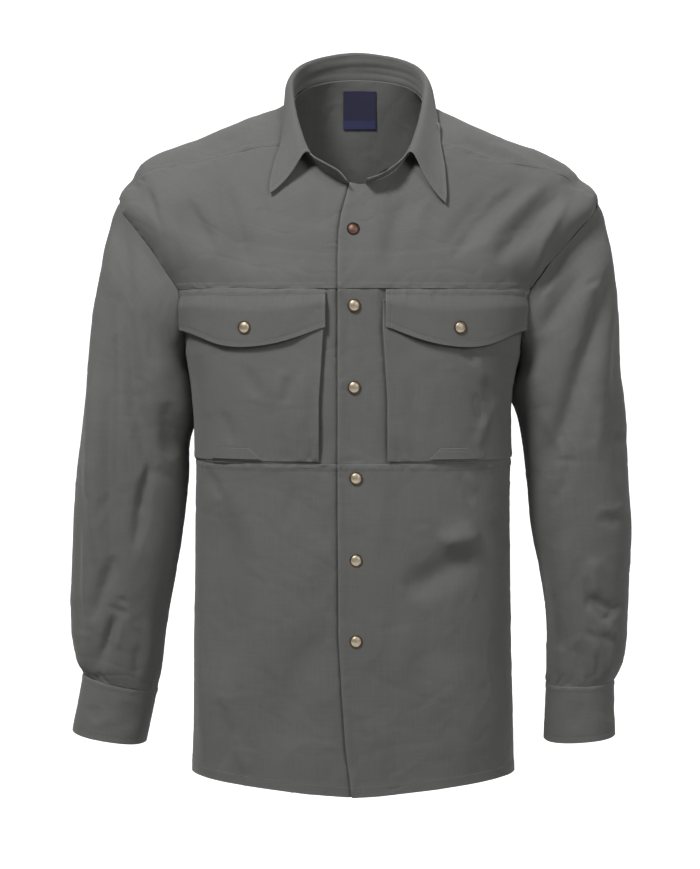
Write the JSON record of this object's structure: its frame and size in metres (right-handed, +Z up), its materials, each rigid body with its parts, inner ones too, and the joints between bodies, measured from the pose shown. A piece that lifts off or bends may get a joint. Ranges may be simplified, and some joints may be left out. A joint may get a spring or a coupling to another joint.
{
  "type": "long-sleeved work shirt",
  "caption": "Long-sleeved work shirt with an open collar, a snap front, flapped bellows chest pockets and lapped cuffs, hollow and filled out as when worn.",
  "frame": {"origin": "middle of the neck, at the height of the high shoulder points, where the wearer's shoulders hold the shirt", "axes": "+X to the wearer's left, +Y to the wearer's back, +Z up; the front faces -Y"},
  "size_m": [0.6275, 0.2494, 0.8162],
  "materials": {
    "cloth": "matt warm-grey woven cloth",
    "snap": "antique brass, rubbed bright on the domes",
    "label": "plain navy woven tape"
  },
  "bodies": {
    "root": {"back": "cloth", "collar_leaf": "cloth", "collar_stand": "cloth", "cuff_left": "cloth", "cuff_right": "cloth", "flap_left": "cloth", "flap_right": "cloth", "front_lower_left": "cloth", "front_lower_right": "cloth", "front_middle_left": "cloth", "front_middle_right": "cloth", "front_upper_left": "cloth", "front_upper_right": "cloth", "pocket_left": "cloth", "pocket_right": "cloth", "pocket_tab_left": "cloth", "pocket_tab_right": "cloth", "sleeve_left": "cloth", "sleeve_right": "cloth", "yoke": "cloth", "cuff_snap_left": "snap", "cuff_snap_right": "snap", "flap_snap_left": "snap", "flap_snap_right": "snap", "placket_snap_1": "snap", "placket_snap_2": "snap", "placket_snap_3": "snap", "placket_snap_4": "snap", "placket_snap_5": "snap", "placket_snap_6": "snap", "stand_snap": "snap", "neck_label": "label"}
  },
  "joints": []
}
